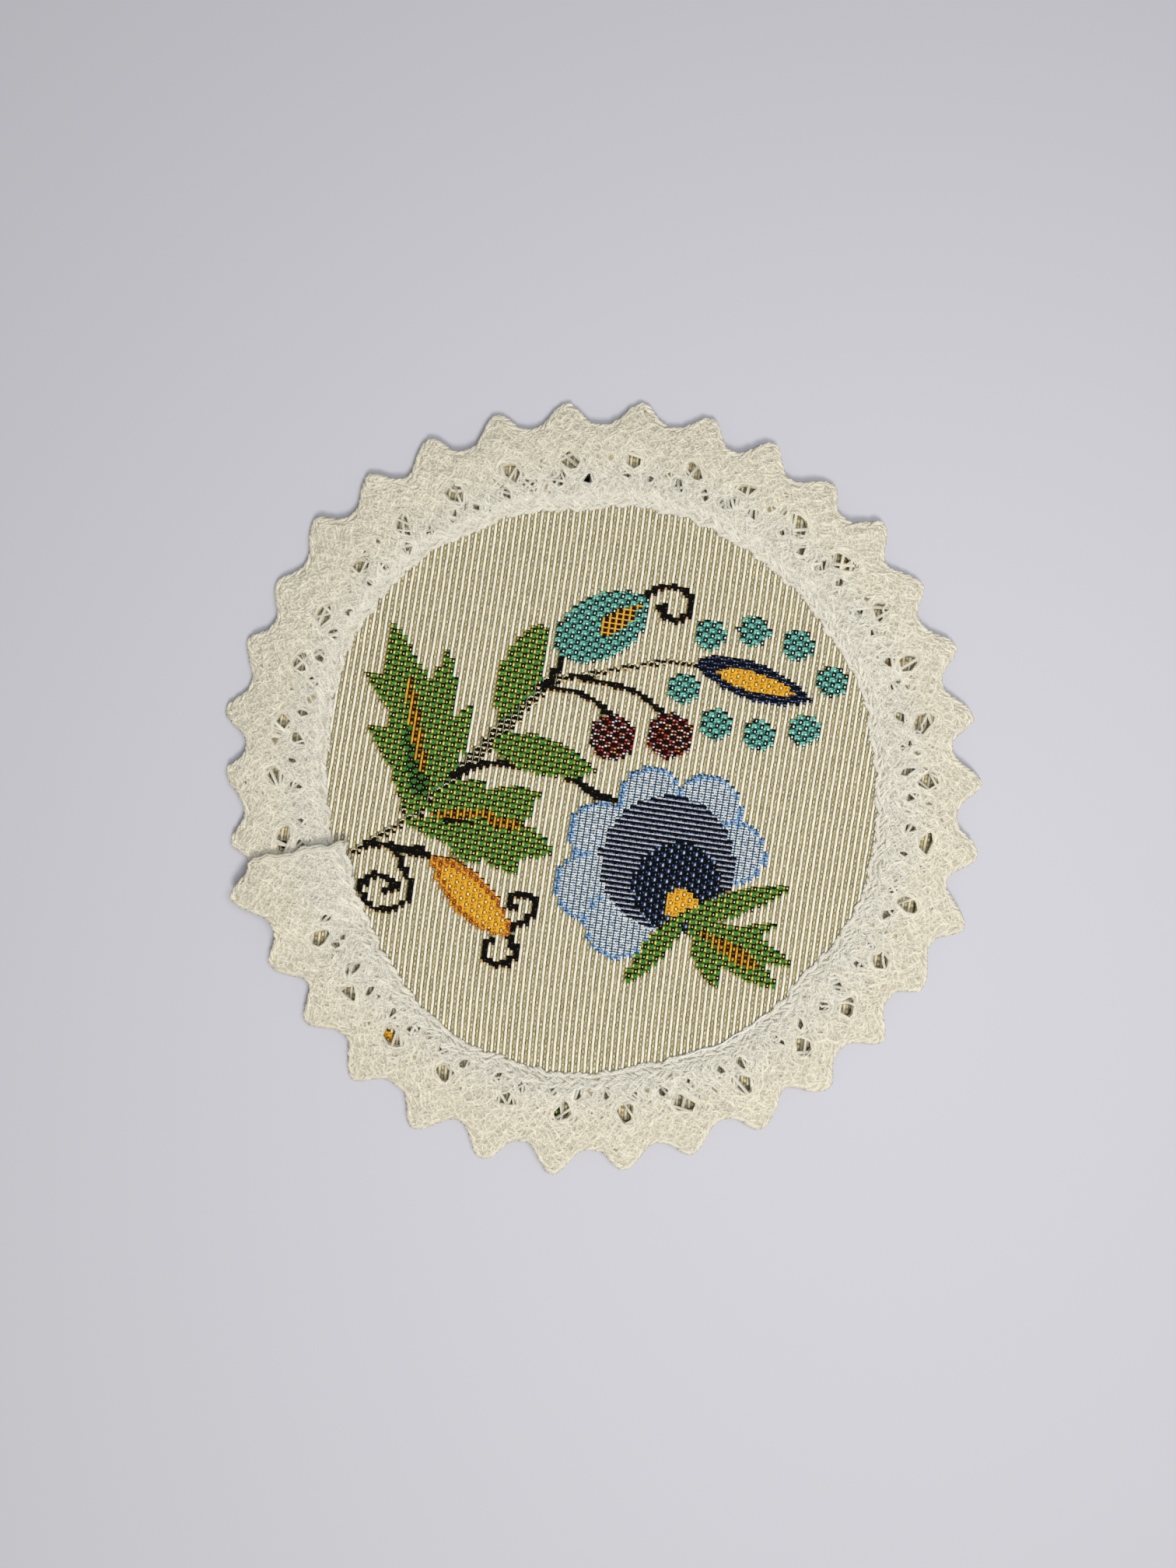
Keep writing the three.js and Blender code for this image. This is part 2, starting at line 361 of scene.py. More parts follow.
def sprayRegions(x, y):
    # names what the weave shows at each place; later lines lie over earlier ones
    lobe, dot, line = (partial(shape, x, y) for shape in (almond, disc, stroke))
    region = np.full(x.shape, "ground", dtype="<U10")

    def put(name, *shapes):
        for shape in shapes:
            region[shape] = name

    # stems, with cream dots where they are thick
    put("stem",
        line(9.4, (455, 1095), (480, 1078), (512, 1062), (530, 1045)),
        line(26, (528, 1042), (560, 1018)),
        line(17.7, (560, 1018), (600, 984), (625, 958), (648, 932)),
        line(23.6, (646, 936), (662, 915)),
        line(16.5, (662, 915), (690, 893), (708, 874)),
        line(7.1, (706, 876), (740, 869), (800, 859), (840, 852), (870, 850), (902, 855)))
    put("black",
        line(9.4, (706, 876), (717, 858), (722, 848), (730, 838)),
        line(9.4, (575, 1000), (605, 986), (640, 981), (664, 985)),
        line(8.3, (736, 868), (770, 876), (800, 883), (825, 893), (842, 906), (852, 917)),
        line(8.3, (700, 882), (740, 889), (762, 899), (776, 909), (784, 920)),
        line(11.8, (730, 1000), (745, 1006), (760, 1018), (786, 1029)),
        line(9.4, (468, 1086), (500, 1087), (522, 1093), (540, 1092)),
        line(8.3, (508, 1092), (535, 1098), (560, 1103), (567, 1112)))
    # curls
    put("black",
        line(9.4, (822, 770), (836, 762), (850, 755), (866, 753), (881, 758), (889, 768), (889, 782),
             (882, 793), (868, 797), (855, 792), (849, 783), (853, 778)),
        line(9.4, (505, 1093), (514, 1103), (517, 1116), (521, 1126), (530, 1138), (528, 1152),
             (518, 1163), (500, 1171), (481, 1170), (468, 1160), (463, 1146), (467, 1132), (481, 1125),
             (497, 1129), (508, 1136), (505, 1145), (492, 1146)),
        line(10.2, (648, 1197), (662, 1192), (677, 1185), (687, 1174), (689, 1162), (682, 1153),
             (666, 1151), (654, 1157), (652, 1168), (664, 1168)),
        line(10.2, (650, 1198), (655, 1207), (661, 1216), (661, 1230), (652, 1240), (638, 1241),
             (625, 1236), (621, 1225), (622, 1213), (634, 1211)))
    # large lobed leaf at the left
    put("leaf",
        lobe((540, 970), (505, 801), 46, 0.55, 0.7),
        lobe((548, 922), (466, 862), 40, 0.44, 1.1),
        lobe((548, 992), (470, 931), 44, 0.44, 1.1),
        lobe((556, 1010), (577, 834), 34, 0.6, 0.7),
        lobe((538, 1030), (606, 906), 42, 0.5, 0.9),
        lobe((530, 1050), (536, 850), 70, 0.5, 0.62))
    put("leafShade", lobe((540, 1030), (528, 900), 26, 0.4))
    put("vein", lobe((543, 994), (524, 866), 15, 0.45, 0.5))
    # upright leaf, small leaf and lower lobed leaf
    put("leaf",
        lobe((640, 926), (700, 801), 54, 0.55, 0.62),
        lobe((632, 953), (766, 992), 50, 0.45, 0.7),
        lobe((545, 1042), (628, 1004), 34, 0.5),
        lobe((560, 1045), (696, 1022), 36, 0.62, 0.6),
        lobe((520, 1056), (712, 1096), 46, 0.55, 0.6),
        lobe((545, 1052), (690, 1044), 40, 0.6, 0.6),
        lobe((575, 1055), (619, 1112), 44, 0.5),
        lobe((610, 1060), (667, 1124), 44, 0.5),
        lobe((640, 1060), (712, 1098), 34, 0.5))
    put("black", line(5.9, (572, 1053), (606, 1058)), line(5.9, (617, 1050), (632, 1053)))
    put("vein", line(10.6, (562, 1047), (628, 1046)), line(13, (634, 1055), (664, 1062)))
    # bud with its grid of gold, and the curl's root
    put("teal",
        lobe((716, 836), (836, 772), 84, 0.47, 0.52))
    put("goldGrid", lobe((770, 815), (824, 776), 24, 0.42, 0.7))
    # dots round the spear
    for middleX, middleY in ((914, 815), (971, 810), (1028, 829), (1072, 876),
                             (1036, 939), (977, 945), (921, 931), (880, 885)):
        put("teal", dot(middleX, middleY, 21, 0.98))
    put("navy", lobe((896, 850), (1046, 902), 50, 0.47, 0.66))
    put("gold", lobe((924, 863), (1022, 891), 24, 0.45, 0.6))
    # berries
    put("berry", dot(788, 948, 30), dot(862, 946, 31))
    # tilted bud
    put("orange", lobe((556, 1101), (654, 1204), 54, 0.5, 0.62))
    put("gold", lobe((566, 1114), (648, 1200), 36, 0.52, 0.62))
    # pansy
    petals = ((838, 1027, 42), (910, 1040, 45), (944, 1098, 43), (772, 1072, 42), (758, 1140, 46),
              (795, 1190, 45))
    for middleX, middleY, radius in petals:
        put("rim", dot(middleX, middleY, radius))
        put("petal", dot(middleX + 1, middleY + 6, radius, 0.97) & dot(middleX, middleY, radius - 6))
    put("petal", dot(850, 1110, 88))
    put("bands", dot(858, 1110, 87))
    put("core", dot(872, 1142, 58, 1.02) & dot(860, 1112, 93))
    put("gold", dot(876, 1164, 21))
    # sepals
    put("leaf",
        lobe((880, 1183), (1018, 1142), 33, 0.45, 0.7),
        lobe((888, 1168), (806, 1264), 32, 0.55, 0.6),
        lobe((876, 1182), (1024, 1244), 36, 0.5, 0.8),
        lobe((915, 1215), (1002, 1190), 22, 0.5, 0.9),
        lobe((886, 1186), (1000, 1272), 40, 0.55, 0.8),
        lobe((886, 1184), (926, 1274), 30, 0.6, 0.8))
    put("vein", lobe((900, 1198), (975, 1246), 20, 0.62, 0.6))
    # glimpses of other sprays, under the lace's holes
    put("black", dot(751, 612, 10), dot(363, 1087, 5))
    put("gold", dot(1086, 729, 9), dot(1156, 853, 9), dot(497, 1335, 10))
    put("leaf", dot(711, 1437, 14))
    return region


# each repeat is charted: rows run from the foot upwards, four columns of the shares above.
# The first chart is for units whose column and row add up to an even number, the second for the others

threadColours = {
    "o": "857a4e", "O": "a89d6e", "D": "33290c", "d": "574c28", "c": "e2dab4", "u": "847a52",
    "K": "050703", "k": "0f1507", "G": "3a7c2f", "g": "2c5a1a", "Y": "c8b44a",
    "T": "3c877a", "t": "124440", "C": "96d6c4", "j": "020c0d",
    "B": "e4f2fa", "s": "314f6a", "S": "172b40", "e": "d6d5c8", "b": "6f9fd2", "a": "93b8dc",
    "N": "04060d", "n": "0e1628", "L": "c6cad0", "l": "5f6f8e", "q": "22345a",
    "R": "8a1812", "r": "240505",
    "A": "eab030", "x": "a06a14", "h": "4e2c04", "H": "2c0a02", "Q": "f6e094", "M": "a04a16",
}
charts = {
    "leaf": (["gKKg", "YKKK", "YKKK", "gKKk"], ["gGgK", "YGGG", "YgGG", "gGgG"]),
    "leafShade": (["KKKK", "kKKK", "kKKK", "KKKK"], ["kGgK", "gGGk", "gGGg", "kgGk"]),
    "vein": (["AKhK", "AKAK", "AKAK", "AKhK"], ["AKKK", "AKhK", "AKxK", "AKKK"]),
    "teal": (["tKKT", "TKKK", "jKKK", "TKKj"], ["TtTT", "TTCT", "CTTT", "TTTj"]),
    "goldGrid": (["AAAA", "AHHH", "AHHH", "AhHh"], ["AAQA", "AHHH", "AhHh", "AHHH"]),
    "black": (["KKrK", "KkKK", "KKKr", "KNKK"], ["KKKK", "rKNK", "KKKK", "KKkK"]),
    "stem": (["KKKK", "KKKK", "KcKK", "oKcc"], ["KKKK", "KKKK", "KKcK", "occo"]),
    "navy": (["NNNN", "nqNq", "NnNN", "NNNN"], ["NNnN", "NNqN", "nNNq", "NNNN"]),
    "gold": (["AxxA", "AhQx", "AxQh", "AxxA"], ["AAxA", "AxAA", "AxxA", "AAAA"]),
    "orange": (["AxMx", "AhhM", "AMhh", "MxMx"], ["AxMM", "MxAx", "AAxM", "AxMx"]),
    "berry": (["KRKK", "rKKK", "KKKK", "rKrK"], ["rKRK", "KrKR", "KKrK", "KKKr"]),
    "petal": (["sSss", "BsBe", "SsSe", "BsBe"], ["sSse", "BsBe", "SsSs", "BsBe"]),
    "rim": (["sSsa", "asbe", "bSbs", "asBe"], ["bSsa", "bsae", "sSbs", "asbe"]),
    "bands": (["LeLl", "qlqN", "NNNN", "NNNN"], ["eLlL", "Nlql", "NNNN", "NNNN"]),
    "core": (["KKKK", "KKKK", "KKKK", "KKKN"], ["nqNn", "NqqN", "nqqn", "NnqN"]),
}
edgeThreads = {"petal": "s", "rim": "s", "gold": "x", "orange": "M", "goldGrid": "x"}
groundChart = ["uoOo", "uDcd"]           # the foot's cross bar, then dashes beside a cream float
cellHeights = {"K": -0.10, "N": -0.06, "D": -0.09, "d": -0.07, "H": -0.12, "h": -0.06, "j": -0.10, "S": -0.07,
               "s": -0.05, "k": -0.06, "c": 0.03, "B": 0.04, "Y": 0.04, "C": 0.05, "L": 0.05,
               "A": 0.05, "Q": 0.03, "e": 0.04, "G": 0.03, "T": 0.03, "r": -0.06}
# raised floats of each repeat: place in the unit (shares across and along), size in mm, colour
floats = {
    "leaf": ([(0.14, 0.60, 0.28, 0.46, "cfb951"), (0.64, 0.50, 0.27, 0.38, "f8efb8")],
             [(0.15, 0.50, 0.36, 0.66, "f2d86a"), (0.66, 0.66, 0.60, 0.30, "529a3e"),
              (0.60, 0.20, 0.50, 0.26, "46903c")]),
    "leafShade": ([(0.63, 0.50, 0.20, 0.28, "c3cdb4"), (0.15, 0.55, 0.24, 0.40, "98a044")],
                  [(0.15, 0.50, 0.26, 0.34, "6f9a48"), (0.66, 0.60, 0.44, 0.22, "3d7c3c")]),
    "vein": ([(0.15, 0.50, 0.30, 0.84, "f6b634"), (0.65, 0.50, 0.20, 0.56, "e0a23a")],
             [(0.15, 0.50, 0.30, 0.84, "f0ad2c")]),
    "teal": ([(0.60, 0.50, 0.30, 0.42, "fcfef2"), (0.06, 0.62, 0.26, 0.20, "84cab8")],
             [(0.42, 0.78, 0.84, 0.34, "6cc0ae"), (0.14, 0.30, 0.40, 0.34, "98dccb"),
              (0.64, 0.34, 0.50, 0.36, "c8f0e2")]),
    "goldGrid": ([(0.15, 0.50, 0.24, 0.84, "f8c242"), (0.60, 0.10, 0.64, 0.20, "f2c04a")],
                 [(0.15, 0.50, 0.24, 0.84, "f2b83a"), (0.60, 0.10, 0.64, 0.20, "f2c65a")]),
    "black": ([(0.65, 0.5, 0.18, 0.20, "6e7174")], [(0.15, 0.4, 0.14, 0.24, "40332c")]),
    "stem": ([(0.15, 0.45, 0.10, 0.78, "cfcfc4"), (0.62, 0.88, 0.50, 0.17, "f2e8c0")],
             [(0.15, 0.45, 0.10, 0.78, "d2d1c4"), (0.55, 0.86, 0.66, 0.17, "e2d292")]),
    "navy": ([(0.66, 0.34, 0.44, 0.19, "8494c0"), (0.15, 0.70, 0.18, 0.22, "c4cce0")],
             [(0.22, 0.34, 0.38, 0.19, "6a7aa8"), (0.70, 0.66, 0.20, 0.20, "a2aecc")]),
    "gold": ([(0.15, 0.50, 0.28, 0.84, "f6ba38"), (0.66, 0.50, 0.20, 0.36, "fff2bc")],
             [(0.15, 0.50, 0.28, 0.84, "eeb02e"), (0.65, 0.22, 0.56, 0.20, "f0bc40"),
              (0.60, 0.72, 0.28, 0.30, "e2a024")]),
    "orange": ([(0.15, 0.50, 0.26, 0.80, "e89a2c"), (0.66, 0.50, 0.22, 0.32, "f2bc94")],
               [(0.15, 0.50, 0.26, 0.80, "d98426"), (0.65, 0.55, 0.24, 0.34, "e8a070")]),
    "berry": ([(0.66, 0.62, 0.48, 0.33, ""), (0.16, 0.26, 0.41, 0.31, "")],
              [(0.18, 0.66, 0.46, 0.33, ""), (0.68, 0.32, 0.40, 0.31, "")]),
    "petal": ([(0.15, 0.38, 0.37, 0.34, "f4fafc"), (0.65, 0.38, 0.40, 0.34, "eaf5fb"),
               (0.15, 0.88, 0.37, 0.34, "e6f4fa"), (0.65, 0.88, 0.40, 0.34, "f6fbfd")],
              [(0.15, 0.38, 0.37, 0.34, "e6f4fa"), (0.65, 0.38, 0.40, 0.34, "f5fbfd"),
               (0.15, 0.88, 0.37, 0.34, "eff8fc"), (0.65, 0.88, 0.40, 0.34, "cce6f6")]),
    "rim": ([(0.15, 0.38, 0.32, 0.30, "a6ccf2"), (0.65, 0.38, 0.34, 0.30, "78ace6"),
             (0.65, 0.88, 0.34, 0.30, "eef6fb")],
            [(0.15, 0.38, 0.32, 0.30, "72a6e2"), (0.40, 0.88, 0.64, 0.24, "90bcea")]),
    "bands": ([(0.50, 0.10, 0.96, 0.13, "e6e9ec"), (0.30, 0.34, 0.38, 0.15, "8c9cba")],
              [(0.50, 0.10, 0.96, 0.13, "dcdfe3"), (0.74, 0.34, 0.36, 0.15, "7c8cb0")]),
    "core": ([(0.66, 0.50, 0.18, 0.34, "8d9fc0")],
             [(0.62, 0.44, 0.34, 0.60, "b9cbe6"), (0.15, 0.74, 0.24, 0.34, "445c92")]),
}
berryColours = ["f6e4dc", "f0c0b0", "e8a488", "cfdeee", "eaa85c", "c24434", "dcd0d6", "f6f0ec", "b9342a"]


def makeWeave():
    # one place for each rib and each half of a pick pair
    column, half = np.meshgrid(np.arange(-weave["columns"], weave["columns"]),
                               np.arange(-weave["halfRows"], weave["halfRows"]), indexing="ij")
    x, y = threadToPlace((column + 0.5) * weave["ribPitch"], (half + 0.5) * weave["pickPair"] / 2)
    fromX, fromY = x - clothMiddle[0], y - clothMiddle[1]
    kept = np.hypot(fromX, fromY) < cutEdge(np.arctan2(fromY, fromX)) - weave["faceInset"]
    x, y = x + middle[0], y + middle[1]
    photoX, photoY = view["ringMiddle"]
    region = sprayRegions(photoX + x / view["pixel"], photoY - y / view["pixel"])
    return column, half, kept, region, np.hypot(x, y)


def chartCells(column, half, kept, region):
    # a letter for each cell: four across a rib's place, and each a quarter of a pick pair high
    wide, tall = column.shape
    letters = np.full((wide * 4, tall * 2), "u")
    for i, j in np.argwhere(kept).tolist():
        name = region[i, j]
        unitRow, upper = half[i, j] // 2, half[i, j] % 2
        if name == "ground":
            rows = [groundChart[upper]] * 2
        else:
            rows = charts[name][(column[i, j] + unitRow) % 2][2 * upper:2 * upper + 2]
        for k in (0, 1):
            letters[4 * i:4 * i + 4, 2 * j + k] = list(rows[k])
        if name in ("ground", "stem"):
            continue
        dark = edgeThreads.get(name, "K")
        if j + 1 < tall and region[i, j + 1] == "ground":
            letters[4 * i:4 * i + 4, 2 * j + 1] = "K"      # the dash where ribs stop
        if i + 1 < wide and region[i + 1, j] == "ground":
            letters[4 * i + 3, 2 * j] = dark
        if i and region[i - 1, j] == "ground" and name in ("teal", "berry", "leaf"):
            letters[4 * i, 2 * j + 1] = dark
        if j and region[i, j - 1] == "ground" and name in ("teal", "berry"):
            letters[4 * i + 1:4 * i + 4, 2 * j] = dark
    return letters


# the least and most of a cell's own colour
groundShades = {"D": (0.35, 1.5), "d": (0.35, 1.5), "c": (0.62, 1.1)}
# hidden is no range but a lift: painted light on the dark dashes under the lace
cellShades = {"ground": (0.74, 1.2), "spray": (0.75, 1.2), "hidden": 1.35}


def makeFace(woven, random, material):
    column, half, kept, region, fromRing = woven
    letters = chartCells(column, half, kept, region)
    palette = {key: np.array(toLinear(value)) for key, value in threadColours.items()}
    heights = np.zeros(letters.shape)
    for key, value in cellHeights.items():
        heights[letters == key] = value
    padded = np.pad(heights, 1, mode="edge")
    corner = (padded[:-1, :-1] + padded[1:, :-1] + padded[:-1, 1:] + padded[1:, 1:]) / 4
    edges = np.concatenate([[0], np.cumsum(weave["shares"])[:-1]])
    number, points, faces, colours = {}, [], [], []

    def addCell(places, colour):
        for i, j in places:
            if (i, j) not in number:
                number[i, j] = len(points)
                px, py = threadToPlace((i // 4 - weave["columns"] + edges[i % 4]) * weave["ribPitch"],
                                       (j / 4 - weave["halfRows"] / 2) * weave["pickPair"])
                points.append((px * mm, py * mm, (weave["faceHeight"] + corner[i, j]) * mm))
        faces.append([number[place] for place in places])
        colours.append(colour)

    for i, j in np.argwhere(kept).tolist():
        plain = region[i, j] == "ground"
        besideSpray = i + 1 < len(column) and kept[i + 1, j] and region[i + 1, j] != "ground"
        for a in range(4 * i + int(plain), 4 * i + 4):       # on plain cloth a rib lies over the first
            b = 2 * j
            if plain:
                between = [(a + 1, b + 1)] if besideSpray and a == 4 * i + 3 else []
                letter = letters[a, b]
                shades = groundShades.get(letter, cellShades["ground"])
                # under the lace the dark dashes D and d are painted the lighter tan of u: painted light
                # against the deep shade seen through the lace's holes
                paintedLightCell = fromRing[i, j] > weave["hiddenFrom"] and letter in "Dd"
                shown = palette["u"] * cellShades["hidden"] if paintedLightCell else palette[letter]
                addCell([(a, b), (a + 1, b), *between, (a + 1, b + 2), (a, b + 2)],
                        shown * random.uniform(*shades))
                continue
            for c in (b, b + 1):
                addCell([(a, c), (a + 1, c), (a + 1, c + 1), (a, c + 1)],
                        palette[letters[a, c]] * random.uniform(*cellShades["spray"]))
    piece = buildMesh("woven_face", points, faces, material)
    corners = np.repeat(np.arange(len(faces)), [len(f) for f in faces])
    colourMesh(piece.data, np.clip(np.array(colours)[corners], 0, 1), "CORNER")
    print("woven face", len(faces), "cells")
    return piece


floatForm = {
    "sides": 6,
    "rim": (1.0, -0.03, 0.62),          # shares of size and height, and painted shade: the rim is darker, as it is sunk in the cloth
    "ring": (0.72, 0.66, 1.0),
    "height": 0.13,
    "pick": (0.36, 0.40, 0.07, "efe8c6"),   # the cream pick between two ribs: size, height, colour
}


def addDome(store, place, size, height, colour, low=False):
    # a low one has no ring half way up
    points, faces, colours = store
    start, sides = len(points), floatForm["sides"]
    sine, cosine = math.sin(leanTurn), math.cos(leanTurn)
    # the rim is painted darker: painted shade where the float sinks into the cloth
    for share, lift, shade in (floatForm["rim"],) if low else (floatForm["rim"], floatForm["ring"]):
        for k in range(sides):
            turn = 2 * math.pi * (k + 0.5) / sides
            u, v = math.cos(turn) * size[0] / 2 * share, math.sin(turn) * size[1] / 2 * share
            points.append((place[0] + u * cosine + v * sine, place[1] - u * sine + v * cosine,
                           place[2] + lift * height))
            colours.append([c * shade for c in colour])
    points.append((place[0], place[1], place[2] + height))
    colours.append(colour)
    top = len(points) - 1
    for k in range(sides):
        n = (k + 1) % sides
        if not low:
            faces.append([start + k, start + n, top - sides + n, top - sides + k])
        faces.append([top - sides + k, top - sides + n, top])


def makeFloats(woven, random, material):
    vary = random.uniform
    column, half, kept, region, fromRing = woven
    store = points, faces, colours = [], [], []
    pitch, pair = weave["ribPitch"], weave["pickPair"]
    shown = kept & (fromRing < weave["picksTo"])
    berries = [toLinear(c) for c in berryColours]
    wide, deep, low, cream = floatForm["pick"]
    pale = toLinear(cream)
    for i in range(column.shape[0]):
        for j in range(0, column.shape[1], 2):
            unitRow = half[i, j] // 2
            if region[i, j + 1] == "ground" and shown[i, j + 1]:
                place = threadToPlace((column[i, j] + 0.65) * pitch, (unitRow + 0.75) * pair)
                shade = vary(0.7, 1.05)
                addDome(store, (*place, weave["faceHeight"] + 0.03),
                        (wide * vary(0.85, 1.1), deep * vary(0.85, 1.1)), low,
                        [c * shade for c in pale], True)
            whole = region[i, j] == region[i, j + 1]
            for part in (0, 1):
                name = region[i, j + part]
                if not kept[i, j + part] or name == "ground" or (whole and part == 1):
                    continue
                for across, up, sizeX, sizeY, colour in floats[name][(column[i, j] + unitRow) % 2]:
                    if not whole:         # half a unit takes the floats of its own half
                        if (up >= 0.5) != (part == 1) and sizeY < 0.6:
                            continue
                        up, sizeY = 0.25 + 0.5 * part, min(sizeY, 0.4)
                    s = (column[i, j] + across + vary(-0.04, 0.04)) * pitch
                    t = (unitRow + up + vary(-0.05, 0.05)) * pair
                    shade = vary(0.84, 1.14)
                    berry = name == "berry"
                    tint = berries[int(random.integers(len(berries)))] if berry else toLinear(colour)
                    grow = vary(0.88, 1.1)
                    addDome(store, (*threadToPlace(s, t), weave["faceHeight"]), (sizeX * grow, sizeY * grow),
                            floatForm["height"] * vary(0.85, 1.15), [min(1, c * shade) for c in tint])
    print("floats", sum(len(face) - 2 for face in faces), "triangles")
    return buildMesh("motif_floats", np.array(points) * mm, faces, material, np.array(colours))


ribForm = {
    "width": 0.46, "height": 0.19, "sides": 5,
    # edge is painted shade along a rib's foot, where it meets the cloth
    "colour": "faf6e6", "edge": "b9b08f", "warmTip": "dda963",
    "laceShadowDim": (0.12, 0.16, 0.26),    # painted shadow of the lace: how much darker it is there, in red, green and blue
    "seamPress": 0.6,                   # how much of its height the seam takes
    # places from a rib's start or end, in halves of a pick pair, and its share of the full size there
    "start": ((-0.12, 0.35), (0.10, 0.85)),
    "end": ((-0.10, 0.85), (0.12, 0.35)),
    "point": ((-0.6, 0.95), (-0.05, 0.75), (0.5, 0.42), (0.85, 0.08)),      # where a motif stops it
}


def ringPlace(x, y):
    # distance from the ring's middle, and how far outside the lace's inner edge
    radius, first = math.hypot(x + middle[0], y + middle[1]), lace["foldedEnd"][0]
    turned = math.degrees(math.atan2(y + middle[1], x + middle[0]))
    return radius, radius - innerEdge(first + (turned - first) % 360)


def makeRibs(woven, random, material):
    # cream warp floats, each a half round strand, broken where the spray is woven
    vary = random.uniform
    column, half, kept, region, fromRing = woven
    points, faces, colours = [], [], []
    sides = ribForm["sides"]
    cream, edge, tipWarm = (toLinear(ribForm[part]) for part in ("colour", "edge", "warmTip"))
    for i in range(len(column)):
        for j, end in runsOf(kept[i] & (region[i] == "ground")):
            if end - j < 2:
                continue
            atMotif = end < column.shape[1] and bool(kept[i, end])
            stations = ([(j + place, grow) for place, grow in ribForm["start"]]
                        + [(k + 0.5, 1.0) for k in range(j, end - atMotif)]
                        + [(end + place, grow) for place, grow in ribForm["point" if atMotif else "end"]])
            above = region[i, end] if atMotif else "ground"
            warm = above in ("black", "berry", "stem", "gold", "orange", "leaf")
            strong = vary(0.2, 1.0) * (1.0 if above in ("black", "berry", "stem") else 0.5)
            start = len(points)
            wander = 0.0
            for number, (place, grow) in enumerate(stations):
                wander = 0.7 * wander + vary(-0.022, 0.022)
                s = (column[i, 0] + 0.15 + wander) * weave["ribPitch"]
                t = (place - weave["halfRows"]) * (weave["pickPair"] / 2)
                width = ribForm["width"] * (0.5 + 0.5 * grow) * vary(0.93, 1.07)
                height = ribForm["height"] * grow * vary(0.9, 1.1)
                shade = vary(0.92, 1.04)
                radius, sewn = ringPlace(*threadToPlace(s, t))
                height *= 1 - ribForm["seamPress"] * (rampUp(sewn, -0.35, 0.2) - rampUp(sewn, 1.8, 3.4))
                # ribs under the lace are painted darker: the lace's shadow on them, painted in
                under = rampUp(radius, weave["hiddenFrom"], weave["hiddenFully"])
                paintedShadow = [1 - share * under for share in ribForm["laceShadowDim"]]
                for k in range(sides):
                    turn = math.pi * k / (sides - 1)
                    px, py = threadToPlace(s - math.cos(turn) * width / 2, t)
                    points.append((px, py, weave["faceHeight"] - 0.03 + math.sin(turn) * height))
                    # the foot's two points take the edge colour: painted shade
                    colour = edge if k in (0, sides - 1) else cream
                    if warm and number >= len(stations) - 3:
                        colour = [a * (1 - strong) + b * strong for a, b in zip(colour, tipWarm)]
                    colours.append([c * shade * dim for c, dim in zip(colour, paintedShadow)])
            for a in range(start, len(points) - sides):
                if (a - start) % sides < sides - 1:
                    faces.append([a, a + 1, a + 1 + sides, a + sides])
    print("ribs", len(faces), "faces")
    return buildMesh("warp_ribs", np.array(points) * mm, faces, material, np.array(colours))


# mercerised cotton warp and weft of a jacquard cloth: matt, a soft sheen along each thread, slightly fuzzy
def jacquardThread(name, roughness, gloss):
    material = startMaterial(name)
    fibre = fibreNoise(material, 7000.0, 2.0)
    return endThread(material, fibre.outputs[0], (0.3, 0.7, 0.82, 1.12), 0.4,
                     {"Roughness": roughness, "Specular IOR Level": gloss})


body = {"sides": 180, "top": 0.90, "edgeRound": 0.2, "insets": (12, 16)}


def makeClothBody(material):
    # the cloth's own thickness: a round cut from the length, its cut edge a little wavy
    bpy.ops.mesh.primitive_circle_add(vertices=body["sides"], radius=weave["cutRadius"] * mm,
                                      fill_type="NGON", location=(0, 0, 0))
    piece = bpy.context.object
    piece.name = "cloth_body"
    bpy.ops.object.mode_set(mode="EDIT")
    bpy.ops.mesh.select_all(action="SELECT")
    for width in body["insets"]:
        bpy.ops.mesh.inset(thickness=width * mm)
    bpy.ops.mesh.select_all(action="SELECT")
    bpy.ops.mesh.extrude_region_move(TRANSFORM_OT_translate={"value": (0, 0, body["top"] * mm)})
    bpy.ops.mesh.select_all(action="SELECT")
    bpy.ops.mesh.normals_make_consistent(inside=False)
    bpy.ops.object.mode_set(mode="OBJECT")
    bevel = piece.modifiers.new("edge", "BEVEL")
    bevel.width = body["edgeRound"] * mm
    bevel.segments = 2
    bevel.limit_method = "ANGLE"
    bpy.ops.object.modifier_apply(modifier="edge")
    for vertex in piece.data.vertices:
        x, y = vertex.co.x / mm, vertex.co.y / mm
        far, turn = math.hypot(x, y), math.atan2(y, x)
        wave = cutEdge(turn) - weave["cutRadius"]
        grow = 1 + wave * (far / weave["cutRadius"]) ** 8 / max(far, 1)
        vertex.co.x, vertex.co.y = (x * grow + clothMiddle[0]) * mm, (y * grow + clothMiddle[1]) * mm
    piece.data.shade_smooth()
    piece.data.materials.append(material)
    return piece


